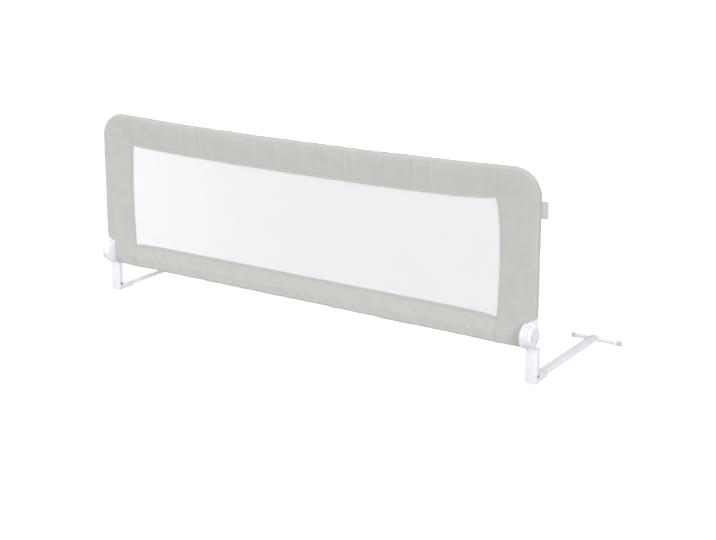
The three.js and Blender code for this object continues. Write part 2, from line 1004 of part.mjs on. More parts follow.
function footConnector() {
  const peg = barAlongZ(
    roundedSection(
      post_width - 2 * post_wall - 2 * fit_gap,
      post_depth - 2 * post_wall - 2 * fit_gap,
      post_edge_radius - post_wall - fit_gap,
    ),
    peg_lift,
    peg_height,
    post_x,
    post_offset,
  );
  const web = block(
    post_x - web_width / 2,
    post_x + web_width / 2,
    post_offset,
    socket_end_y - socket_insert - fit_gap,
    peg_lift,
    web_height,
  );
  const socket = barAlongY(
    roundedSection(post_width, socket_height, post_edge_radius),
    post_rear_y + fit_gap,
    socket_end_y,
    post_x,
    arm_z,
  );
  return cut(
    join(peg, web, socket),
    barAlongY(
      armSection(fit_gap - arm_neck),
      socket_end_y - socket_insert,
      socket_end_y + overrun,
      post_x,
      arm_z,
    ),
    rodAlongX(
      foot_bolt_radius + fit_gap,
      post_x - post_width,
      post_x + post_width,
      post_offset,
      foot_bolt_height,
      small_round_steps,
    ),
    rodAlongZ(
      screw_head_radius + fit_gap,
      -overrun,
      arm_screw_head_height + fit_gap,
      post_x,
      socket_end_y - arm_screw_set_back,
    ),
    rodAlongZ(
      screw_radius + fit_gap,
      0,
      arm_z,
      post_x,
      socket_end_y - arm_screw_set_back,
    ),
  );
}

// Head and barrel that the two halves of the foot bolt share; side is 1 on the
// post's right face and -1 on its left face
function footBoltBody(side) {
  const face = post_width / 2 + fit_gap;
  const edge = foot_bolt_head_height / 2;
  const profile = [
    [0, face - foot_bolt_length],
    [foot_bolt_radius, face - foot_bolt_length],
    [foot_bolt_radius, face],
    [foot_bolt_head_radius, face],
    ...roundEdge(foot_bolt_head_radius - edge, face + edge, edge, 0, 90, edge_steps),
    [0, face + foot_bolt_head_height],
  ];
  return turnedAlongX(
    profile,
    [post_x, post_offset, foot_bolt_height],
    small_round_steps,
    side,
  );
}

function footThread(radius, length) {
  const x1 = post_x + post_width / 2 + fit_gap - foot_bolt_length;
  return rodAlongX(
    radius,
    x1 - length,
    x1 + fit_gap,
    post_offset,
    foot_bolt_height,
    small_round_steps,
  );
}

function footBolt() {
  return join(footBoltBody(1), footThread(foot_thread_radius, foot_thread_length));
}

// Sleeve nut that the foot bolt's thread screws into
function footNut() {
  const bore = footThread(foot_thread_radius + fit_gap, post_width / 2);
  return cut(footBoltBody(-1), bore);
}

// Arm under the mattress: its near end is drawn in to fit the socket, and its
// far end is welded over the bracing bar
function arm() {
  const start = socket_end_y - socket_insert + fit_gap;
  const shoulder = socket_end_y + fit_gap;
  const end = brace_y + arm_lap;
  return cut(
    join(
      barAlongY(armSection(-arm_neck), start, shoulder + overrun, post_x, arm_z),
      barAlongY(tube_outline, shoulder, end, post_x, arm_z),
    ),
    barAlongY(tube_bore_outline, start - overrun, end + overrun, post_x, arm_z),
    rodAlongX(
      brace_radius + fit_gap,
      post_x - tube_width,
      post_x + tube_width,
      brace_y,
      brace_z,
    ),
    rodAlongZ(
      screw_radius + fit_gap,
      0,
      arm_z,
      post_x,
      socket_end_y - arm_screw_set_back,
    ),
  );
}

function armScrew() {
  const y = socket_end_y - arm_screw_set_back;
  return join(
    rodAlongZ(screw_head_radius, peg_lift, arm_screw_head_height, post_x, y),
    rodAlongZ(screw_radius, peg_lift, peg_lift + arm_screw_length, post_x, y),
  );
}

function braceBar() {
  const half = brace_length / 2 - brace_cap_end - fit_gap;
  return cut(
    rodAlongX(brace_radius, brace_x - half, brace_x + half, brace_y, brace_z, brace_steps),
    rodAlongX(
      brace_radius - brace_wall,
      brace_x - brace_length,
      brace_x + brace_length,
      brace_y,
      brace_z,
      brace_steps,
    ),
  );
}

// Cap over one end of the bracing bar; side is 1 outwards or -1 inwards
function braceCap(side) {
  const end = brace_length / 2;
  const edge = brace_cap_edge;
  const profile = [
    [0, end - brace_cap_end],
    [brace_radius + fit_gap, end - brace_cap_end],
    [brace_radius + fit_gap, end - brace_cap_length],
    [brace_cap_radius, end - brace_cap_length],
    ...roundEdge(brace_cap_radius - edge, end - edge, edge, 0, 90, edge_steps),
    [0, end],
  ];
  return turnedAlongX(profile, [brace_x, brace_y, brace_z], brace_steps, side);
}

// Assembly
function piece(name, solid, material) {
  const mesh = new THREE.Mesh(geometryOf(solid), material);
  mesh.name = name;
  return mesh;
}

// Everything that both ends of the rail have; side is "left" or "right"
const end_pieces = [
  ["post", post(), white_paint],
  ["foot_connector", footConnector(), white_plastic],
  ["foot_bolt", footBolt(), zinc_steel],
  ["foot_nut", footNut(), zinc_steel],
  ["arm", arm(), white_paint],
  ["arm_screw", armScrew(), zinc_steel],
  ["brace_bar", braceBar(), white_paint],
  ["brace_cap_outer", braceCap(1), grey_rubber],
  ["brace_cap_inner", braceCap(-1), grey_rubber],
  ["hinge_base", hingeBase(), white_plastic],
  ["hinge_base_screw", hingeBaseScrew(), zinc_steel],
  ["hinge_inner_half", hingeInnerHalf(), white_plastic],
  ["hinge_outer_half", hingeOuterHalf(), white_plastic],
  ["hinge_screw_front", hingeScrew(front_screw_angle), zinc_steel],
  ["hinge_screw_rear", hingeScrew(rear_screw_angle), zinc_steel],
  ["release_button", releaseButton(), white_plastic],
  ["button_spring", buttonSpring(), zinc_steel],
  ["corner_tube", cornerTube(), white_paint],
  ["upright_pin", uprightPin(), zinc_steel],
  ["bottom_tube", bottomTube(), white_paint],
  ["cover_side", coverSide(), warm_grey_fabric],
];

function railEnd(side, mirror) {
  const group = new THREE.Group();
  end_pieces.forEach(([name, solid, material]) => {
    group.add(piece(side + "_" + name, solid, material));
  });
  group.scale.x = mirror;
  return group;
}

const rail = new THREE.Group();
rail.add(railEnd("right", 1));
rail.add(railEnd("left", -1));
rail.add(piece("top_joiner", topJoiner(), zinc_steel));
rail.add(piece("bottom_joiner", bottomJoiner(), zinc_steel));
rail.add(piece("cover_top", coverTop(), warm_grey_fabric));
rail.add(piece("cover_bottom", coverBottom(), warm_grey_fabric));
rail.add(piece("mesh_window", meshWindow(), white_mesh));
rail.add(piece("side_tag", sideTag(), white_tape));
rail.position.y = frame_shift_y;

const guard_rail = new THREE.Group();
guard_rail.add(rail);

export default guard_rail;
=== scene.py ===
# Folding bed guard rail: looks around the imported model. Metres, +Z up.
import json
import math
from collections import namedtuple

import bpy
import numpy as np
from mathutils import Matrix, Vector, noise


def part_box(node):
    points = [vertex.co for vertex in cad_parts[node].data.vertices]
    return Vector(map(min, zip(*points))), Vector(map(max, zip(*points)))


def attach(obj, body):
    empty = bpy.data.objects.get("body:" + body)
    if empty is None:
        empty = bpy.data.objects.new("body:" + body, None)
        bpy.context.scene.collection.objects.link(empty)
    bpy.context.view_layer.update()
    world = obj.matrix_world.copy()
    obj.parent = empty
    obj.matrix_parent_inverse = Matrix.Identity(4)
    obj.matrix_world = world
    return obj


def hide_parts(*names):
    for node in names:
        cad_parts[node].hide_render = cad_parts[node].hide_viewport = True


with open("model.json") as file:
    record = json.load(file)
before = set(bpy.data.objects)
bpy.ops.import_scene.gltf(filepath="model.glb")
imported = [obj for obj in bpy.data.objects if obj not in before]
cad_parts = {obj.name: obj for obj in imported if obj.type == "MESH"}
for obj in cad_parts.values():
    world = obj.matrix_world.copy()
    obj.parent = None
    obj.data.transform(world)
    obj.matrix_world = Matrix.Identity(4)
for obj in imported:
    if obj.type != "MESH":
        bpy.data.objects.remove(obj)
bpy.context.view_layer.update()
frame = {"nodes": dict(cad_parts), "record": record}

MM = 0.001

# Camera, at the photograph's viewing angle
CAMERA_PLACE = (2.2334, -3.2336, 1.3168)
CAMERA_AZIMUTH = 33.74
CAMERA_PITCH = 12.49
FOCAL_PX = 1374.5
PICTURE_WIDTH_PX = 716
SHIFT_UP_PX = -100
SENSOR_MM = 36.0

# Stage and light
WHITE = (1, 1, 1, 1)
FLOOR_Z = -0.33
FLOOR_SIZE = 40.0
FLOOR_COLOUR = (0.54, 0.54, 0.54, 1)
FLOOR_ROUGHNESS = 0.9
FLOOR_GLOW = 0.66
BRIGHT_WAY = (-0.21, -0.977, 0.0)
SKY_LEVEL = 0.80
SKY_BRIGHT_SIDE = 0.56
KEY_AZIMUTH = 52
KEY_HEIGHT = 20
KEY_SOFTNESS = 12
KEY_STRENGTH = 0.80
REAR_PLACE = (-1.5, 0.75, 0.55)
REAR_TARGET = (-0.78, -0.18, 0.36)
REAR_SIZE = 0.5
REAR_SPREAD = 55
REAR_WATTS = 1.5

# Places of the panel, from the frame
SIDE_LOW, SIDE_HIGH = (Vector(corner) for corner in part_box("right_cover_side"))
SLEEVE_LOW, SLEEVE_HIGH = (Vector(corner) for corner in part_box("cover_bottom"))
TAG_LOW, TAG_HIGH = (Vector(corner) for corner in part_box("side_tag"))
RAIL_HALF = SIDE_HIGH.x
SEAM_X = (SIDE_LOW.x + SLEEVE_HIGH.x) / 2
PANEL_Y = (SLEEVE_LOW.y + SLEEVE_HIGH.y) / 2
PANEL_LOW = SLEEVE_LOW.z
WINDOW_LOW = SLEEVE_HIGH.z

# Outline of the cover
TOP_Z = 0.572
TOP_SAG = 0.010
CORNER_RADIUS = 0.074
STRAIGHT_HALF = RAIL_HALF - CORNER_RADIUS
ARC_Z = TOP_Z - CORNER_RADIUS

# Window in the cover
TOP_BORDER = 0.095
TOP_PULL = 0.0035
TOP_PULL_RIGHT = 0.011
TOP_PULL_REACH = 0.060
LEAN_RIGHT = 0.012
LEAN_REACH = 0.036
LOW_DIP = 0.0065
LOW_DIP_REACH = 0.035
WINDOW_BOW = 0.005
WINDOW_CORNER = 0.004

# Thickness of the cover
HALF_DEPTH = 0.00865
WRAP_RADIUS = 0.0074
TUBE_BAND = 0.0288
TUBE_ROOM = 0.0009
FREE_ROOM = 0.002
HEM_WIDTH = 0.010
HEM_HALF_DEPTH = 0.0026
LEAST_DEPTH = 0.0004
CLOTH = 0.0007

# Opening of the cover for the hinge
NOTCH_X = 0.7164
NOTCH_Z = 0.1668
NOTCH_RISE = 0.0147
NOTCH_HIGH_RADIUS = 0.006
NOTCH_LOW_RADIUS = 0.016
NOTCH_TURN = -37

# Places on the window's outline that a side's stretches are drawn to, as window_outline counts them
AT_CORNER = 0.25
AT_UPRIGHT = 1.02
AT_FOOT = 1.79
AT_LEDGE = 1.85
AT_NOTCH = 1.88
AT_LOW_CORNER = 1.99
AT_LOW_EDGE = 2.2
AT_SEAM = 3

# Steps of the cover's mesh
STATION = 0.004
HEM_OFFSETS = [offset * MM for offset in (0, 1, 2, 2.5, 3, 4, 6, 8, 8.5, 9, 11)]
SEAM_OFFSETS = [offset * MM for offset in (0.6, 1.2, 1.8, 2.4, 3, 4.2, 6)]
MIDDLE_STEPS = 20
WRAP_STEPS = 6
FOLD_STEPS = 2
FOLD_DEPTH = 0.0009
FOLD_BACK = 0.0008

# Fields of noise: height, changes in a metre along x and z, and seed
Ripple = namedtuple("Ripple", "height across up seed")
SWELL = Ripple(1.2 * MM, 9, 14, 0)
UNEVENNESS = Ripple(0.9, 3.1, 2, 12)
TOP_LEAN = Ripple(0.25, 5, 0, 3)
TOP_FOLDS = Ripple(1.3, 52, 6, 1)
LOW_FOLDS = Ripple(1.2, 40, 7, 2)
SIDE_FOLDS = Ripple(1.0, 26, 30, 4)
SIDE_RIDGES = Ripple(1.4 * MM, 8, 72, 5)
PUCKERS = Ripple(0.65 * MM, 120, 1, 6)
SEAM_PUCKERS = Ripple(0.8 * MM, 90, 1, 8)
TUBE_LINE_WANDER = Ripple(5 * MM, 17, 60, 9)
TUBE_LINE_SHARE = Ripple(3, 14, 1, 10)
NET_SWELL = Ripple(1.6 * MM, 5, 9, 21)
NET_RIPPLES = Ripple(0.5 * MM, 22, 12, 22)
FACE_SEED = 7.3

# Strength of folds: the least, how much more at the outer edge, and how far in that reaches
Growth = namedtuple("Growth", "least more reach")
TOP_GROWTH = Growth(0.35, 1.0, 45 * MM)
LOW_GROWTH = Growth(0.4, 0.8, 50 * MM)
SIDE_GROWTH = Growth(0.4, 0.5, 30 * MM)
FOLD_HEIGHT = 1.5 * MM
USUAL_UNEVENNESS = 0.75
LOW_SLANT = 0.8
RIDGE_REACH_UP = 90 * MM
RIDGE_REACH_IN = 32 * MM
PUCKER_REACH = 14 * MM
HEM_PUCKERS = 0.6
HEM_PUCKER_REACH = 12 * MM
SEAM_PUCKER_REACH = 16 * MM
HEM_CREASES = 0.25

# Line pressed into the cloth along the tube's lower edge
TUBE_LINE = 11 * MM
TUBE_LINE_WIDTH = 2.2 * MM
TUBE_LINE_DIP = 0.7 * MM

# Rows of folds in the top sleeve. Each fold draws its place, width and height: a middle value and
# a spread, then the noise's step from fold to fold, start, row and seed
Draw = namedtuple("Draw", "middle spread step start row seed")
FoldRow = namedtuple("FoldRow", "pitch width places widths heights")
GATHERS = FoldRow(
    pitch=0.060,
    width=0.005,
    places=Draw(0, 0.3, 1.7, 0.4, 0.6, 31),
    widths=Draw(1, 0, 0, 0, 0, 0),
    heights=Draw(0.7, 0.6, 2.3, 0, 0.2, 33),
)
STREAKS = FoldRow(
    pitch=0.022,
    width=0.0055,
    places=Draw(0, 0.45, 1.3, 0.2, 0.7, 41),
    widths=Draw(1, 0.8, 0.9, 0.1, 0.3, 42),
    heights=Draw(0.5, 1.6, 1.9, 0.3, 0.5, 43),
)
GATHER_PULL = 0.0013
GATHER_REACH = 26 * MM
STREAK_RISE = 0.0032
STREAK_FACE_SHIFT = 3
STREAK_FULL = 12 * MM
STREAK_LEAST = 0.25
STREAK_HEAD = 6 * MM
STREAK_REACH = 40 * MM

# Sewn lines: how far from the window's edge or from the seam, how strong the dip and the painted shade
# along them are, and how wide
HEM_STITCH_NEAR = 0.0025
HEM_STITCH_FAR = 0.0085
SEAM_STITCH = 0.0026
HEM_LINES = [(HEM_STITCH_NEAR, 0.8, 0.7 * MM), (HEM_STITCH_FAR, 1.0, 0.7 * MM)]
SEAM_LINES = [(0.0, 0.8, 0.6 * MM), (SEAM_STITCH, 0.6, 0.7 * MM)]
STITCH_DIP = 0.3 * MM
SEAM_RISE = 0.5 * MM
SEAM_WIDTH = 4.5 * MM

# Stitches. A thread's lifts give its height over the cloth at shares of its length
STITCH_PITCH = 0.0038
STITCH_LENGTH = 0.0027
THREAD_RADIUS = 0.00024
THREAD_RISE = 0.00012
THREAD_SINK = 0.0003
THREAD_SIDES = 5
THREAD_LIFTS = [(0.0, -THREAD_SINK), (0.25, THREAD_RISE), (0.75, THREAD_RISE), (1.0, -THREAD_SINK)]

# Mesh window
MESH_TUCK = 0.006
MESH_THICKNESS = 0.0005
MESH_COLUMNS = 220
MESH_ROWS = 56
MESH_FREE_UP = 4
MESH_FREE_ACROSS = 6

# Tag
TAG_TUCK = 2 * MM
TAG_HALF_GAP = 0.5 * MM
TAG_BULGE = 0.25 * MM
TAG_LEAN = 0.5 * MM
TAG_TAPE = 0.35 * MM
TAG_STEPS = 6
TAG_ROWS = 10

# Edges of the hard parts
WELD_GAP = 0.01 * MM
EDGE_ROUNDING = 0.0003
EDGE_SEGMENTS = 2
SHARP_ANGLE = 40
SMOOTH_ANGLE = 50

# Materials. Colours are read in 0 to 255, and tones are pairs of a place on a ramp and a level there
FABRIC_COLOUR = (204, 203, 200)
FABRIC_TONES = [(0.3, 0.955), (0.7, 1.045)]
FABRIC_SURFACE = {
    "Roughness": 0.86,
    "Sheen Weight": 0.12,
    "Sheen Roughness": 0.5,
    "Specular IOR Level": 0.3,
}
# Painted shade: the cloth's colour is multiplied by this along its stitch lines, to stand for the shade
# in their grooves
STITCH_GROOVE_SHADE = (0.93, 0.93, 0.935, 1)
WEAVE_PITCH = 0.7 * MM
FUZZ_SHARE = 0.8
NET_COLOUR = (242, 242, 243)
NET_THROUGH_COLOUR = (246, 247, 250)
NET_THROUGH_SHARE = 0.3
NET_SURFACE = {"Roughness": 0.7, "Sheen Weight": 0.2}
NET_PITCH = 0.0018
NET_HOLE_LEVEL = 0.66
HARD_TINTS = [(0.3, 0.97), (0.7, 1.02)]
HARD_GLOSS = [(0.3, 0.85), (0.75, 1.15)]
Finish = namedtuple("Finish", "name colour roughness grain grain_scale metallic", defaults=(0.0,))
THREAD = Finish("sewing_thread", (194, 193, 190), 0.75, 0.3, 2500)
TAPE = Finish("tag_tape", (203, 203, 204), 0.8, 0.5, 1400)
FINISHES = {
    "white_paint": Finish("white_powder_coat", (244, 244, 250), 0.38, 0.25, 900),
    "white_plastic": Finish("white_moulded_plastic", (243, 244, 249), 0.45, 0.2, 1500),
    "grey_rubber": Finish("pale_grey_caps", (214, 214, 216), 0.7, 0.3, 1200),
    "zinc_steel": Finish("zinc_plate", (150, 152, 155), 0.4, 0.15, 2000, 1.0),
}


# Objects

def add_object(name, data):
    made = bpy.data.objects.new(name, data)
    bpy.context.scene.collection.objects.link(made)
    return made


def new_object(name, vertices, faces, smooth=True):
    mesh = bpy.data.meshes.new(name)
    mesh.from_pydata([tuple(v) for v in vertices], [], [tuple(f) for f in faces])
    mesh.update()
    if smooth:
        mesh.shade_smooth()
    return add_object(name, mesh)


def grid_faces(rows, columns):
    """Faces of a sheet whose vertices are listed row by row."""
    wide = columns + 1
    starts = [row * wide + column for row in range(rows) for column in range(columns)]
    return [(a, a + 1, a + 1 + wide, a + wide) for a in starts]


def add_attribute(mesh, name, kind, field, values):
    made = mesh.attributes.new(name, kind, "POINT")
    made.data.foreach_set(field, np.array(values, dtype=np.float32).ravel())


def thicken(piece, name, thickness, offset):
    solid = piece.modifiers.new(name, "SOLIDIFY")
    solid.thickness = thickness
    solid.offset = offset


def aim(made, way):
    """Turns a camera or a lamp, which looks along its own -Z, to look along way."""
    made.rotation_mode = "QUATERNION"
    made.rotation_quaternion = way.to_track_quat("-Z", "Y")


def add_camera():
    data = bpy.data.cameras.new("camera")
    data.sensor_fit = "HORIZONTAL"
    data.sensor_width = SENSOR_MM
    data.lens = FOCAL_PX * SENSOR_MM / PICTURE_WIDTH_PX
    data.shift_y = SHIFT_UP_PX / PICTURE_WIDTH_PX
    camera = add_object("camera", data)
    azimuth = math.radians(CAMERA_AZIMUTH)
    pitch = math.radians(CAMERA_PITCH)
    aim(camera, Vector((
        -math.sin(azimuth) * math.cos(pitch),
        math.cos(azimuth) * math.cos(pitch),
        -math.sin(pitch),
    )))
    camera.location = CAMERA_PLACE
    bpy.context.scene.camera = camera


# Measures

def mix(a, b, share):
    return a + (b - a) * share


def fade(distance, reach):
    """1 at no distance, falling towards 0 beyond the reach."""
    return math.exp(-max(distance, 0) / reach)


def bell(distance, width):
    return math.exp(-((distance / width) ** 2))


def wave(a, b, seed):
    return noise.noise(Vector((a, b, seed)))


def ripple(field, x, z, seed=0):
    return field.height * wave(x * field.across, z * field.up, field.seed + seed)


def drawn(draw, k):
    """The value that a row's fold number k draws."""
    return draw.middle + draw.spread * wave(k * draw.step + draw.start, draw.row, draw.seed)


def direction(degrees):
    """Unit vector in the panel's plane, counted from +X to +Z."""
    return np.array((math.cos(math.radians(degrees)), math.sin(math.radians(degrees))))


# Outlines of the cover, seen from the front

def top_edge(x):
    return TOP_Z - TOP_SAG * (1 - min(abs(x) / STRAIGHT_HALF, 1.0) ** 2)


def window_top(x):
    """Height of the window's top edge, drawn up at its corners, on the right the most."""
    pull = TOP_PULL_RIGHT if x > 0 else TOP_PULL
    return top_edge(x) - TOP_BORDER + pull * fade(SEAM_X - abs(x), TOP_PULL_REACH)


def window_low(x):
    """Height of the window's low edge, drawn down at its corners."""
    return WINDOW_LOW - LOW_DIP * fade(SEAM_X - abs(x), LOW_DIP_REACH)


def window_side(z, side):
    """How far from the middle the window's side edge lies. side is 1 on the right, -1 on the left."""
    high, low = window_top(side * SEAM_X), window_low(SEAM_X)
    share = (2 * z - low - high) / (high - low)
    lean = LEAN_RIGHT * fade(high - z, LEAN_REACH) if side > 0 else 0
    return SEAM_X + WINDOW_BOW * (1 - min(share**2, 1.0)) - lean


def window_outline(place, side):
    """An edge of the window, as if it were on the right: 0 to 1 is its top corner, to 2 its side,
    to 3 its low corner.
    """
    high = window_top(side * (SEAM_X - WINDOW_CORNER)) - WINDOW_CORNER
    low = window_low(SEAM_X - WINDOW_CORNER) + WINDOW_CORNER
    if 1 <= place <= 2:
        z = mix(high, low, place - 1)
        return window_side(z, side), z
    angle = math.radians(90 * (1 - place) if place < 1 else 90 * (2 - place))
    middle = high if place < 1 else low
    return (
        window_side(middle, side) + WINDOW_CORNER * (math.cos(angle) - 1),
        middle + WINDOW_CORNER * math.sin(angle),
    )


def in_border(x, z):
    """Whether a point lies above or below the window."""
    return z > window_top(x) or z < window_low(x)


def window_distance(x, z):
    """How far a point lies out from the window."""
    across = max(abs(x) - window_side(z, math.copysign(1, x)), 0)
    up = max(z - window_top(x), window_low(x) - z, 0)
    return math.hypot(across, up)


def edge(x, z):
    """How far a point lies in from the cover's outer edge, its opening left out, and the way out."""
    side = math.copysign(1.0, x)
    x = abs(x)
    if x > STRAIGHT_HALF and z > ARC_Z:
        reach = math.hypot(x - STRAIGHT_HALF, z - ARC_Z)
        way = (side * (x - STRAIGHT_HALF) / reach, (z - ARC_Z) / reach)
        return CORNER_RADIUS - reach, way
    return min(
        (RAIL_HALF - x, (side, 0.0)),
        (top_edge(x) - z, (0.0, 1.0)),
        (z - PANEL_LOW, (0.0, -1.0)),
    )


# Stations along the cover

class Station:
    """One cross-section of the cover, from its window point to its outer point.

    away is the way out there in the panel's plane. A wrapped station goes round a tube, and the
    others end at the opening for the hinge.
    """

    def __init__(self, outer, inner, away, wrapped=True):
        self.outer = np.array(outer)
        self.inner = np.array(inner)
        self.away = np.array(away)
        self.wrapped = wrapped

    def flipped(self):
        flip = np.array((-1, 1))
        return Station(self.outer * flip, self.inner * flip, self.away * flip, self.wrapped)


def shares(length, fine_start=False, fine_end=False):
    """Shares of a length, one for each station, closer together beside a seam."""
    count = max(2, round(length / STATION))
    found = {i / count for i in range(count + 1)}
    if fine_start:
        found |= {offset / length for offset in SEAM_OFFSETS}
    if fine_end:
        found |= {1 - offset / length for offset in SEAM_OFFSETS}
    return sorted(found)


def stretch(side, start, end, places, ways, wrapped=True, **fine):
    """Stations on a straight outer edge, between two places on the window's outline and two ways out."""
    stations = []
    for share in shares(math.dist(start, end), **fine):
        outer = (mix(start[0], end[0], share), mix(start[1], end[1], share))
        inner = window_outline(mix(*places, share), side)
        stations.append(Station(outer, inner, direction(mix(*ways, share)), wrapped))
    return stations


def bend(side, centre, radius, angles, places, ways, wrapped=True):
    """Stations round a corner. Angles in degrees, counted from +X to +Z."""
    stations = []
    for share in shares(radius * math.radians(abs(angles[1] - angles[0]))):
        outer = np.array(centre) + radius * direction(mix(*angles, share))
        inner = window_outline(mix(*places, share), side)
        stations.append(Station(outer, inner, direction(mix(*ways, share)), wrapped))
    return stations


def side_stations(side):
    """One side of the cover, from the top seam to the bottom seam. side is 1 on the right."""
    foot = (RAIL_HALF, NOTCH_Z + NOTCH_RISE)
    high = (NOTCH_X + NOTCH_HIGH_RADIUS, NOTCH_Z - NOTCH_HIGH_RADIUS)
    low = (NOTCH_X - NOTCH_LOW_RADIUS, PANEL_LOW + NOTCH_LOW_RADIUS)
    stations = []
    for share in shares(STRAIGHT_HALF - SEAM_X, fine_start=True):
        x = mix(SEAM_X, STRAIGHT_HALF, share)
        stations.append(Station((x, top_edge(x)), window_outline(AT_CORNER * share, side), (0, 1)))
    corner = (STRAIGHT_HALF, ARC_Z)
    stations += bend(side, corner, CORNER_RADIUS, (90, 0), (AT_CORNER, AT_UPRIGHT), (90, 0))[1:]
    upright = (RAIL_HALF, ARC_Z)
    stations += stretch(side, upright, foot, (AT_UPRIGHT, AT_FOOT), (0, 0))[1:]
    ledge = (high[0], NOTCH_Z)
    stations += stretch(side, foot, ledge, (AT_FOOT, AT_LEDGE), (0, NOTCH_TURN), False)[1:]
    places = (AT_LEDGE, AT_NOTCH)
    stations += bend(side, high, NOTCH_HIGH_RADIUS, (90, 180), places, (NOTCH_TURN, 0), False)[1:]
    start, end = (NOTCH_X, high[1]), (NOTCH_X, low[1])
    stations += stretch(side, start, end, (AT_NOTCH, AT_LOW_CORNER), (0, 0), False)[1:]
    places = (AT_LOW_CORNER, AT_LOW_EDGE)
    stations += bend(side, low, NOTCH_LOW_RADIUS, (0, -90), places, (0, -90), False)[1:-1]
    start, end = (low[0], PANEL_LOW), (SEAM_X, PANEL_LOW)
    stations += stretch(side, start, end, (AT_LOW_EDGE, AT_SEAM), (-90, -90), fine_end=True)
    return [station if side > 0 else station.flipped() for station in stations]


def sleeve_stations(edge_z, window_z, way):
    """A long sleeve between the two seams. edge_z and window_z give its two edges at x."""
    stations = []
    for share in shares(2 * SEAM_X, fine_start=True, fine_end=True):
        x = mix(-SEAM_X, SEAM_X, share) * way
        corner = window_outline(0 if way > 0 else AT_SEAM, math.copysign(1, x))[0]
        inner_x = x * corner / SEAM_X
        stations.append(Station((x, edge_z(x)), (inner_x, window_z(inner_x)), (0, way)))
    return stations


# Depth and creases of the cloth

def half_depth(x, z):
    """Half the cover's thickness: full round the tube, down to the sewn hem."""
    inner = window_distance(x, z) - HEM_WIDTH
    outer = edge(x, z)[0] - TUBE_BAND
    if outer <= 0:
        return HALF_DEPTH
    share = max(inner, 0) / max(inner + outer, MM)
    return mix(HEM_HALF_DEPTH, HALF_DEPTH, min(share, 1))


def fold_row(row, x):
    """Height of a row's folds at x, 0 between them."""
    nearest = round(x / row.pitch)
    rise = 0.0
    for k in (nearest - 1, nearest, nearest + 1):
        place = (k + drawn(row.places, k)) * row.pitch
        width = row.width * drawn(row.widths, k)
        rise += max(drawn(row.heights, k), 0) * bell(x - place, width)
    return rise


def grown(growth, from_edge):
    return growth.least + growth.more * fade(from_edge, growth.reach)


def border_creases(x, z, face, seed, from_edge):
    """Puckers beside the seam, and the line along the tube."""
    by_seam = fade(abs(abs(x) - SEAM_X), SEAM_PUCKER_REACH)
    from_line = from_edge - TUBE_LINE - ripple(TUBE_LINE_WANDER, x, from_edge, seed)
    pressed = min(max(ripple(TUBE_LINE_SHARE, x, 0.3, seed), 0), 1)
    puckers = ripple(SEAM_PUCKERS, z, face, seed) * by_seam
    return puckers - TUBE_LINE_DIP * bell(from_line, TUBE_LINE_WIDTH) * pressed


def crease(x, z, face):
    """How far the cloth stands out from its smooth shape. face is 1 in front and -1 behind."""
    seed = FACE_SEED * face
    from_edge = edge(x, z)[0]
    from_window = window_distance(x, z)
    border = in_border(x, z)
    amount = ripple(SWELL, x, z, seed)
    uneven = USUAL_UNEVENNESS + ripple(UNEVENNESS, x, z, seed)
    if border and z > WINDOW_LOW and abs(x) < SEAM_X:
        lean = x + (z - WINDOW_LOW) * ripple(TOP_LEAN, x, 0, seed)
        folds = ripple(TOP_FOLDS, lean, z, seed)
        strength = uneven * grown(TOP_GROWTH, from_edge)
        amount -= GATHER_PULL * fold_row(GATHERS, lean) * fade(from_edge, GATHER_REACH)
        below_edge = min(max(from_edge / STREAK_FULL, STREAK_LEAST), 1)
        streaks = fold_row(STREAKS, lean + STREAK_FACE_SHIFT * face)
        amount += STREAK_RISE * streaks * below_edge * fade(from_edge - STREAK_HEAD, STREAK_REACH)
    elif border and abs(x) < SEAM_X:
        folds = ripple(LOW_FOLDS, x + LOW_SLANT * z, z - LOW_SLANT * x, seed)
        strength = uneven * grown(LOW_GROWTH, from_edge)
    else:
        folds = ripple(SIDE_FOLDS, x, z, seed)
        strength = grown(SIDE_GROWTH, from_edge)
        low = fade(z - NOTCH_Z, RIDGE_REACH_UP) * fade(from_edge, RIDGE_REACH_IN)
        amount += ripple(SIDE_RIDGES, x, z, seed) * low
    amount += FOLD_HEIGHT * folds * strength
    by_hem = fade(from_window - HEM_WIDTH, HEM_PUCKER_REACH)
    by_edges = fade(from_edge, PUCKER_REACH) + HEM_PUCKERS * by_hem
    amount += ripple(PUCKERS, x if border else z, face, seed) * by_edges
    if border:
        amount += border_creases(x, z, face, seed, from_edge)
    held = min(1, from_window / (2 * HEM_WIDTH))
    return amount * mix(HEM_CREASES, 1, held)


def stitch_lines(x, z):
    """1 in the middle of a sewn line, 0 away from it: two along the hem, three at each seam."""
    from_window = window_distance(x, z)
    lines = sum(level * bell(from_window - place, width) for place, level, width in HEM_LINES)
    if in_border(x, z):
        from_seam = abs(abs(x) - SEAM_X)
        lines += sum(level * bell(from_seam - place, width) for place, level, width in SEAM_LINES)
    return min(lines, 1.0)


def sewn_relief(x, z):
    """The cloth drawn in along the stitches, and raised where the seam's allowances lie under it."""
    relief = -STITCH_DIP * stitch_lines(x, z)
    if in_border(x, z):
        relief += SEAM_RISE * bell(abs(x) - SEAM_X, SEAM_WIDTH)
    return relief


def wrap(x, z):
    """The distance in from the edge, the way out, and how far the cloth turns out and faces forwards."""
    from_edge, out = edge(x, z)
    turned = min(max(1 - from_edge / WRAP_RADIUS, 0.0), 1.0)
    return from_edge, out, turned, math.sqrt(1 - turned**2)


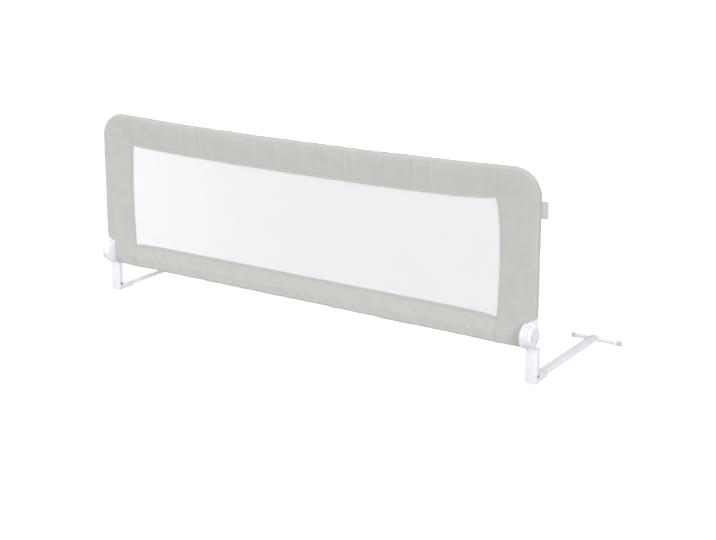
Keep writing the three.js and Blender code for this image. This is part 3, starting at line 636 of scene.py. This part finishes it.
def cloth_point(x, z, folded, way):
    """Place of the cloth at x and z, in front (way -1) or behind (way 1)."""
    from_edge, out, turned, facing = wrap(x, z)
    front, rear = crease(x, z, 1), crease(x, z, -1)
    bump = mix(front if way < 0 else rear, (front + rear) / 2, turned**2) + sewn_relief(x, z)
    bump = max(bump, -TUBE_ROOM if from_edge < TUBE_BAND else -FREE_ROOM)
    depth = half_depth(x, z) - WRAP_RADIUS * (1 - facing) + facing * bump - folded
    return (
        x + out[0] * turned * bump,
        PANEL_Y + way * max(depth, LEAST_DEPTH),
        z + out[1] * turned * bump,
    )


def cloth_normal(x, z, way):
    _, out, turned, facing = wrap(x, z)
    return Vector((out[0] * turned, way * facing, out[1] * turned))


# Soft pieces

def half_section(station):
    """Half of one cross-section, from the window out to the edge: x, z and how far it is folded in."""
    outer, inner = station.outer, station.inner
    turn = outer - station.away * WRAP_RADIUS
    length = float(np.linalg.norm(turn - inner))
    heading = (turn - inner) / length
    offsets = list(HEM_OFFSETS)
    offsets += [mix(HEM_OFFSETS[-1], length, (i + 1) / MIDDLE_STEPS) for i in range(MIDDLE_STEPS)]
    half = [(*(inner + heading * offset), 0.0) for offset in offsets]
    for i in range(1, WRAP_STEPS + 1):
        share = math.sin(math.radians(90 * i / WRAP_STEPS))
        half.append((*mix(turn, outer, share), 0.0))
    for i in range(1, FOLD_STEPS + 1):
        back = 0.0 if station.wrapped else FOLD_BACK * (i - 1)
        half.append((*(outer - station.away * back), FOLD_DEPTH * i / FOLD_STEPS))
    return half


def cover_faces(stations, per):
    """Faces between neighbouring stations, with per points each, open where nothing is wrapped."""
    faces = []
    for i, (station, following) in enumerate(zip(stations, stations[1:])):
        wrapped = station.wrapped and following.wrapped
        for j in range(per):
            if j == per // 2 - 1 and not wrapped:
                continue
            a, b = i * per + j, i * per + (j + 1) % per
            faces.append((a, b, b + per, a + per))
    return faces


def cover_piece(name, stations, solid):
    """A stretch of the cover: both its faces and the wrap round the tube, open at its ends."""
    vertices, lay, sewn = [], [], []
    along = 0.0
    for number, station in enumerate(stations):
        if number:
            along += math.dist(station.outer, stations[number - 1].outer)
        half = half_section(station)
        loop = [(*point, -1) for point in half] + [(*point, 1) for point in reversed(half)]
        run = 0.0
        for i, (x, z, folded, way) in enumerate(loop):
            place = cloth_point(x, z, folded, way)
            if i:
                run += math.dist(place, vertices[-1])
            vertices.append(place)
            lay.append((along, run, 0.0))
            sewn.append(stitch_lines(x, z))
    per = len(vertices) // len(stations)
    piece = new_object(name, vertices, cover_faces(stations, per))
    front_face = piece.data.polygons[per // 4]
    if front_face.normal.y > 0:
        piece.data.flip_normals()
    add_attribute(piece.data, "lay", "FLOAT_VECTOR", "vector", lay)
    # The seam attribute carries the stitch lines, along which the fabric material paints shade
    add_attribute(piece.data, "seam", "FLOAT", "value", sewn)
    thicken(piece, "cloth", CLOTH, -1)
    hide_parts(solid)
    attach(piece, "panel")
    return piece


def add_cover():
    """The four sewn stretches of the cover."""
    top_line = sleeve_stations(top_edge, window_top, 1)
    low_line = sleeve_stations(lambda x: PANEL_LOW, window_low, -1)
    top = cover_piece("cover_top_sleeve", top_line, "cover_top")
    low = cover_piece("cover_bottom_sleeve", low_line, "cover_bottom")
    right = cover_piece("cover_right_side", side_stations(1), "right_cover_side")
    left = cover_piece("cover_left_side", side_stations(-1), "left_cover_side")
    return [top, low, right, left]


def sewn_lines():
    """The sewn lines of the cover: for each one its length and a function from 0..1 to x and z."""
    wide = SEAM_X + HEM_STITCH_FAR
    low = window_low(SEAM_X) - HEM_STITCH_FAR
    clear = HEM_STITCH_FAR + SEAM_STITCH

    def over(share):
        x = mix(-wide, wide, share)
        return x, window_top(x) + HEM_STITCH_FAR

    def under(share):
        x = mix(-wide, wide, share)
        return x, window_low(x) - HEM_STITCH_FAR

    lines = [(2 * wide, over), (2 * wide, under)]
    for side in (-1, 1):
        high = window_top(side * SEAM_X) + HEM_STITCH_FAR

        def beside(share, side=side, high=high):
            z = mix(low, high, share)
            return side * (window_side(z, side) + HEM_STITCH_FAR), z

        lines.append((high - low, beside))
        for x in (side * (SEAM_X - SEAM_STITCH), side * (SEAM_X + SEAM_STITCH)):
            ends = (
                (window_top(x) + clear, top_edge(x) - SEAM_STITCH),
                (PANEL_LOW + SEAM_STITCH, window_low(x) - clear),
            )
            for start, end in ends:

                def upright(share, x=x, start=start, end=end):
                    return x, mix(start, end, share)

                lines.append((end - start, upright))
    return lines


def stitch(start, end, out, base):
    """Vertices and faces of a thread that dips into the cloth at both ends. base is its first number."""
    across = (end - start).cross(out).normalized()
    vertices = []
    for share, lift in THREAD_LIFTS:
        middle = start.lerp(end, share) + out * lift
        for i in range(THREAD_SIDES):
            angle = 2 * math.pi * i / THREAD_SIDES
            spoke = across * math.cos(angle) + out * math.sin(angle)
            vertices.append(middle + spoke * THREAD_RADIUS)
    faces = [[base + i for i in range(THREAD_SIDES)]]
    for ring in range(len(THREAD_LIFTS) - 1):
        a = base + ring * THREAD_SIDES
        for i in range(THREAD_SIDES):
            k = (i + 1) % THREAD_SIDES
            faces.append((a + k, a + i, a + i + THREAD_SIDES, a + k + THREAD_SIDES))
    last = base + (len(THREAD_LIFTS) - 1) * THREAD_SIDES
    faces.append([last + i for i in reversed(range(THREAD_SIDES))])
    return vertices, faces


def add_stitching():
    """Every stitch of the cover's sewn lines, in front and behind."""
    vertices, faces = [], []
    for length, place in sewn_lines():
        count = int(length / STITCH_PITCH)
        for number in range(count):
            start = place(number / count)
            end = place((number + STITCH_LENGTH / STITCH_PITCH) / count)
            for way in (-1, 1):
                thread, thread_faces = stitch(
                    Vector(cloth_point(*start, 0.0, way)),
                    Vector(cloth_point(*end, 0.0, way)),
                    cloth_normal(*start, way),
                    len(vertices),
                )
                vertices += thread
                faces += thread_faces
    piece = new_object("cover_stitching", vertices, faces)
    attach(piece, "panel")
    return piece


def add_mesh_window():
    """The mesh, sewn in under the hem and a little slack."""
    vertices, lay = [], []
    for row in range(MESH_ROWS + 1):
        up = row / MESH_ROWS
        for column in range(MESH_COLUMNS + 1):
            share = 2 * column / MESH_COLUMNS - 1
            side = math.copysign(1, share)
            z_side = mix(window_low(SEAM_X), window_top(side * SEAM_X), up)
            x = share * (window_side(z_side, side) + MESH_TUCK)
            z = mix(window_low(x) - MESH_TUCK, window_top(x) + MESH_TUCK, up)
            free = min(1, MESH_FREE_UP * up * (1 - up)) * min(1, MESH_FREE_ACROSS * (1 - abs(share)))
            slack = ripple(NET_SWELL, x, z) + ripple(NET_RIPPLES, x, z)
            vertices.append((x, PANEL_Y + slack * free, z))
            lay.append((x, z, 0.0))
    piece = new_object("mesh_net", vertices, grid_faces(MESH_ROWS, MESH_COLUMNS))
    add_attribute(piece.data, "lay", "FLOAT_VECTOR", "vector", lay)
    thicken(piece, "net", MESH_THICKNESS, 0)
    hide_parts("mesh_window")
    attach(piece, "panel")
    return piece


def tag_path(reach):
    """The folded tape seen from above: x and y of its front, its fold and its back."""
    front = [(RAIL_HALF - TAG_TUCK, -TAG_HALF_GAP)]
    for i in range(1, TAG_STEPS + 1):
        bulge = TAG_BULGE * math.sin(math.pi * i / TAG_STEPS)
        front.append((RAIL_HALF + reach * i / TAG_STEPS, -TAG_HALF_GAP - bulge))
    fold = []
    for i in range(1, TAG_STEPS):
        x, y = TAG_HALF_GAP * direction(-90 + 180 * i / TAG_STEPS)
        fold.append((RAIL_HALF + reach + x, y))
    return front + fold + [(x, -y) for x, y in reversed(front)]


def add_tag():
    """A bare tape, folded in two, with its ends in the seam."""
    reach = TAG_HIGH.x - RAIL_HALF - TAG_HALF_GAP
    path = tag_path(reach)
    vertices = []
    for row in range(TAG_ROWS + 1):
        up = row / TAG_ROWS
        z = mix(TAG_LOW.z, TAG_HIGH.z, up)
        lean = TAG_LEAN * math.sin(math.pi * up)
        for x, y in path:
            out = (x - RAIL_HALF) / reach
            vertices.append((x, PANEL_Y + y + lean * out**2, z))
    piece = new_object("sewn_tag", vertices, grid_faces(TAG_ROWS, len(path) - 1))
    thicken(piece, "tape", TAG_TAPE, 0)
    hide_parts("side_tag")
    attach(piece, "panel")
    return piece


# Materials

def new_material(name):
    material = bpy.data.materials.new(name)
    material.use_nodes = True
    tree = material.node_tree
    return material, tree, tree.nodes["Principled BSDF"]


def linear(red, green, blue):
    """A colour read in 0 to 255, as the linear values that the shader takes."""
    values = []
    for value in (red, green, blue):
        share = value / 255
        values.append(share / 12.92 if share <= 0.04045 else ((share + 0.055) / 1.055) ** 2.4)
    return (*values, 1.0)


def node(tree, kind, **settings):
    made = tree.nodes.new(kind)
    for key, value in settings.items():
        setattr(made, key, value)
    return made


def set_inputs(made, values):
    for name, value in values.items():
        made.inputs[name].default_value = value


def math_node(tree, operation, first, second=None):
    made = node(tree, "ShaderNodeMath", operation=operation)
    for socket, value in zip(made.inputs, (first, second)):
        if value is None:
            continue
        if isinstance(value, bpy.types.NodeSocket):
            tree.links.new(value, socket)
        else:
            socket.default_value = value
    return made.outputs[0]


def noise_node(tree, vector, scale, detail, roughness):
    made = node(tree, "ShaderNodeTexNoise")
    set_inputs(made, {"Scale": scale, "Detail": detail, "Roughness": roughness})
    tree.links.new(vector, made.inputs["Vector"])
    return made.outputs["Fac"]


def tone_ramp(tree, factor, colour, tones):
    """A colour that is lighter or darker with factor, by the tones' places and levels."""
    made = node(tree, "ShaderNodeValToRGB")
    for element, (place, level) in zip(made.color_ramp.elements, tones):
        element.position = place
        element.color = (*(channel * level for channel in colour[:3]), 1.0)
    tree.links.new(factor, made.inputs["Fac"])
    return made.outputs["Color"]


def bump_node(tree, height, strength, distance):
    made = node(tree, "ShaderNodeBump")
    set_inputs(made, {"Strength": strength, "Distance": distance})
    tree.links.new(height, made.inputs["Height"])
    return made.outputs["Normal"]


def mix_shaders(tree, factor, first, second):
    """The first shader where factor is 0 and the second where it is 1."""
    made = node(tree, "ShaderNodeMixShader")
    if isinstance(factor, bpy.types.NodeSocket):
        tree.links.new(factor, made.inputs["Fac"])
    else:
        made.inputs["Fac"].default_value = factor
    tree.links.new(first, made.inputs[1])
    tree.links.new(second, made.inputs[2])
    return made.outputs["Shader"]


def fabric_material():
    """Plain weave with fuzzy threads and slight blotches, and painted shade darkening the cloth along
    its sewn lines.
    """
    material, tree, shader = new_material("warm_grey_polyester")
    lay = node(tree, "ShaderNodeAttribute", attribute_name="lay").outputs["Vector"]
    seam = node(tree, "ShaderNodeAttribute", attribute_name="seam").outputs["Fac"]
    threads = noise_node(tree, lay, scale=900, detail=3.0, roughness=0.7)
    blotches = noise_node(tree, lay, scale=22, detail=3.0, roughness=0.6)
    half_threads = math_node(tree, "MULTIPLY", threads, 0.5)
    half_blotches = math_node(tree, "MULTIPLY", blotches, 0.5)
    tone = math_node(tree, "ADD", half_threads, half_blotches)
    cloth = tone_ramp(tree, tone, linear(*FABRIC_COLOUR), FABRIC_TONES)
    # Painted shade: the cloth's colour darkened along the stitch lines, to stand for the shade in their
    # grooves
    darker = node(tree, "ShaderNodeMix", data_type="RGBA", blend_type="MULTIPLY")
    darker.inputs["B"].default_value = STITCH_GROOVE_SHADE
    tree.links.new(cloth, darker.inputs["A"])
    tree.links.new(seam, darker.inputs["Factor"])
    tree.links.new(darker.outputs["Result"], shader.inputs["Base Color"])
    weave = node(tree, "ShaderNodeSeparateXYZ")
    tree.links.new(lay, weave.inputs["Vector"])
    turns = math.pi / WEAVE_PITCH
    warp = math_node(tree, "SINE", math_node(tree, "MULTIPLY", weave.outputs["X"], turns))
    weft = math_node(tree, "SINE", math_node(tree, "MULTIPLY", weave.outputs["Y"], turns))
    crossings = math_node(tree, "MULTIPLY", warp, weft)
    fuzz = math_node(tree, "MULTIPLY", threads, FUZZ_SHARE)
    normal = bump_node(tree, math_node(tree, "ADD", crossings, fuzz), 0.6, 0.2 * MM)
    tree.links.new(normal, shader.inputs["Normal"])
    set_inputs(shader, FABRIC_SURFACE)
    return material


def net_material():
    """White yarn that lets some light through, with small clear holes between."""
    material, tree, shader = new_material("white_knitted_mesh")
    lay = node(tree, "ShaderNodeAttribute", attribute_name="lay").outputs["Vector"]
    parts = node(tree, "ShaderNodeSeparateXYZ")
    tree.links.new(lay, parts.inputs["Vector"])
    turns = math.pi / NET_PITCH
    along = math_node(tree, "COSINE", math_node(tree, "MULTIPLY", parts.outputs["X"], turns))
    up = math_node(tree, "COSINE", math_node(tree, "MULTIPLY", parts.outputs["Y"], turns))
    cells = math_node(tree, "MULTIPLY", along, up)
    hole = math_node(tree, "GREATER_THAN", math_node(tree, "ABSOLUTE", cells), NET_HOLE_LEVEL)
    set_inputs(shader, {"Base Color": linear(*NET_COLOUR), **NET_SURFACE})
    tree.links.new(bump_node(tree, cells, 0.5, 0.15 * MM), shader.inputs["Normal"])
    clear = node(tree, "ShaderNodeBsdfTransparent").outputs["BSDF"]
    through = node(tree, "ShaderNodeBsdfTranslucent")
    through.inputs["Color"].default_value = linear(*NET_THROUGH_COLOUR)
    yarn = mix_shaders(tree, NET_THROUGH_SHARE, shader.outputs["BSDF"], through.outputs["BSDF"])
    whole = mix_shaders(tree, hole, yarn, clear)
    tree.links.new(whole, tree.nodes["Material Output"].inputs["Surface"])
    return material


def hard_material(finish):
    """Painted, moulded or plated surface: slight colour and gloss changes and a fine grain."""
    material, tree, shader = new_material(finish.name)
    place = node(tree, "ShaderNodeTexCoord").outputs["Object"]
    cloudy = noise_node(tree, place, scale=25, detail=3.0, roughness=0.6)
    fine = noise_node(tree, place, scale=finish.grain_scale, detail=2.0, roughness=0.6)
    tint = tone_ramp(tree, cloudy, linear(*finish.colour), HARD_TINTS)
    tree.links.new(tint, shader.inputs["Base Color"])
    gloss = tone_ramp(tree, cloudy, (finish.roughness,) * 3, HARD_GLOSS)
    tree.links.new(gloss, shader.inputs["Roughness"])
    tree.links.new(bump_node(tree, fine, finish.grain, 0.2 * MM), shader.inputs["Normal"])
    shader.inputs["Metallic"].default_value = finish.metallic
    return material


def smooth_group():
    """Geometry nodes that shade a faceted solid smoothly up to an edge angle."""
    group = bpy.data.node_groups.new("smooth_round_faces", "GeometryNodeTree")
    group.interface.new_socket("Geometry", in_out="INPUT", socket_type="NodeSocketGeometry")
    group.interface.new_socket("Geometry", in_out="OUTPUT", socket_type="NodeSocketGeometry")
    start = node(group, "NodeGroupInput")
    end = node(group, "NodeGroupOutput")
    all_faces = node(group, "GeometryNodeSetShadeSmooth", domain="FACE")
    edges = node(group, "GeometryNodeSetShadeSmooth", domain="EDGE")
    angle = node(group, "GeometryNodeInputMeshEdgeAngle")
    flat_enough = node(group, "FunctionNodeCompare", operation="LESS_EQUAL")
    flat_enough.inputs["B"].default_value = math.radians(SMOOTH_ANGLE)
    group.links.new(angle.outputs["Unsigned Angle"], flat_enough.inputs["A"])
    group.links.new(start.outputs[0], all_faces.inputs["Geometry"])
    group.links.new(all_faces.outputs["Geometry"], edges.inputs["Geometry"])
    group.links.new(flat_enough.outputs["Result"], edges.inputs["Shade Smooth"])
    group.links.new(edges.outputs["Geometry"], end.inputs[0])
    return group


def finish_nodes():
    """Materials, rounded edges and smooth shading for the solids that stay."""
    materials = {slot: hard_material(finish) for slot, finish in FINISHES.items()}
    slots = {part["node"]: part["material_slot"] for part in frame["record"]["subparts"]}
    group = smooth_group()
    for name, solid in frame["nodes"].items():
        material = materials.get(slots[name])
        if material is None:
            continue
        solid.data.materials.clear()
        solid.data.materials.append(material)
        weld = solid.modifiers.new("weld", "WELD")
        weld.merge_threshold = WELD_GAP
        rounding = solid.modifiers.new("rounding", "BEVEL")
        rounding.width = EDGE_ROUNDING
        rounding.segments = EDGE_SEGMENTS
        rounding.limit_method = "ANGLE"
        rounding.angle_limit = math.radians(SHARP_ANGLE)
        smooth = solid.modifiers.new("smooth", "NODES")
        smooth.node_group = group


# Stage and light

def seen_directly(tree):
    """1 for what the camera, a mirror or glass sees, 0 for light on surfaces."""
    path = node(tree, "ShaderNodeLightPath")
    seen = math_node(tree, "MAXIMUM", path.outputs["Is Camera Ray"], path.outputs["Is Glossy Ray"])
    return math_node(tree, "MAXIMUM", seen, path.outputs["Is Transmission Ray"])


def add_world():
    """A white background, and for light on surfaces a sky that is brighter in front."""
    world = bpy.data.worlds.new("studio")
    bpy.context.scene.world = world
    world.use_nodes = True
    tree = world.node_tree
    light = tree.nodes["Background"]
    towards = node(tree, "ShaderNodeVectorMath", operation="DOT_PRODUCT")
    tree.links.new(node(tree, "ShaderNodeTexCoord").outputs["Generated"], towards.inputs[0])
    towards.inputs[1].default_value = BRIGHT_WAY
    bright = math_node(tree, "MULTIPLY", towards.outputs["Value"], SKY_BRIGHT_SIDE)
    tree.links.new(math_node(tree, "ADD", bright, SKY_LEVEL), light.inputs["Strength"])
    light.inputs["Color"].default_value = WHITE
    white = node(tree, "ShaderNodeBackground")
    white.inputs["Color"].default_value = WHITE
    sky, backdrop = light.outputs["Background"], white.outputs["Background"]
    both = mix_shaders(tree, seen_directly(tree), sky, backdrop)
    tree.links.new(both, tree.nodes["World Output"].inputs["Surface"])


def add_floor():
    """A pale floor that glows where it is seen, so that it runs into the white background."""
    half = FLOOR_SIZE / 2
    corners = [(-half, -half), (half, -half), (half, half), (-half, half)]
    floor = new_object("floor", [(x, y, FLOOR_Z) for x, y in corners], [(0, 1, 2, 3)], False)
    material, tree, shader = new_material("pale_floor")
    set_inputs(shader, {"Base Color": FLOOR_COLOUR, "Roughness": FLOOR_ROUGHNESS})
    lit = node(tree, "ShaderNodeBsdfDiffuse")
    lit.inputs["Color"].default_value = FLOOR_COLOUR
    glow = node(tree, "ShaderNodeEmission")
    glow.inputs["Strength"].default_value = FLOOR_GLOW
    seen = node(tree, "ShaderNodeAddShader")
    tree.links.new(lit.outputs["BSDF"], seen.inputs[0])
    tree.links.new(glow.outputs["Emission"], seen.inputs[1])
    both = mix_shaders(tree, seen_directly(tree), shader.outputs["BSDF"], seen.outputs["Shader"])
    tree.links.new(both, tree.nodes["Material Output"].inputs["Surface"])
    floor.data.materials.append(material)


def add_key():
    """A soft far lamp from the front right, low enough to show the cloth's folds."""
    data = bpy.data.lights.new("key_light", "SUN")
    data.energy = KEY_STRENGTH
    data.angle = math.radians(KEY_SOFTNESS)
    lamp = add_object("key_light", data)
    lamp.rotation_mode = "XYZ"
    lamp.rotation_euler = (math.radians(90 - KEY_HEIGHT), 0, math.radians(KEY_AZIMUTH))


def add_rear_lamp():
    """A narrow lamp behind the left end, which shines through the mesh."""
    data = bpy.data.lights.new("rear_light", "AREA")
    data.shape = "SQUARE"
    data.size = REAR_SIZE
    data.spread = math.radians(REAR_SPREAD)
    data.energy = REAR_WATTS
    lamp = add_object("rear_light", data)
    lamp.location = REAR_PLACE
    aim(lamp, Vector(REAR_TARGET) - Vector(REAR_PLACE))
    lamp.visible_camera = False


add_camera()
bpy.context.scene.view_settings.view_transform = "Standard"
add_world()
add_floor()
add_key()
add_rear_lamp()

fabric = fabric_material()
for piece in add_cover():
    piece.data.materials.append(fabric)
add_stitching().data.materials.append(hard_material(THREAD))
add_mesh_window().data.materials.append(net_material())
add_tag().data.materials.append(hard_material(TAPE))
finish_nodes()
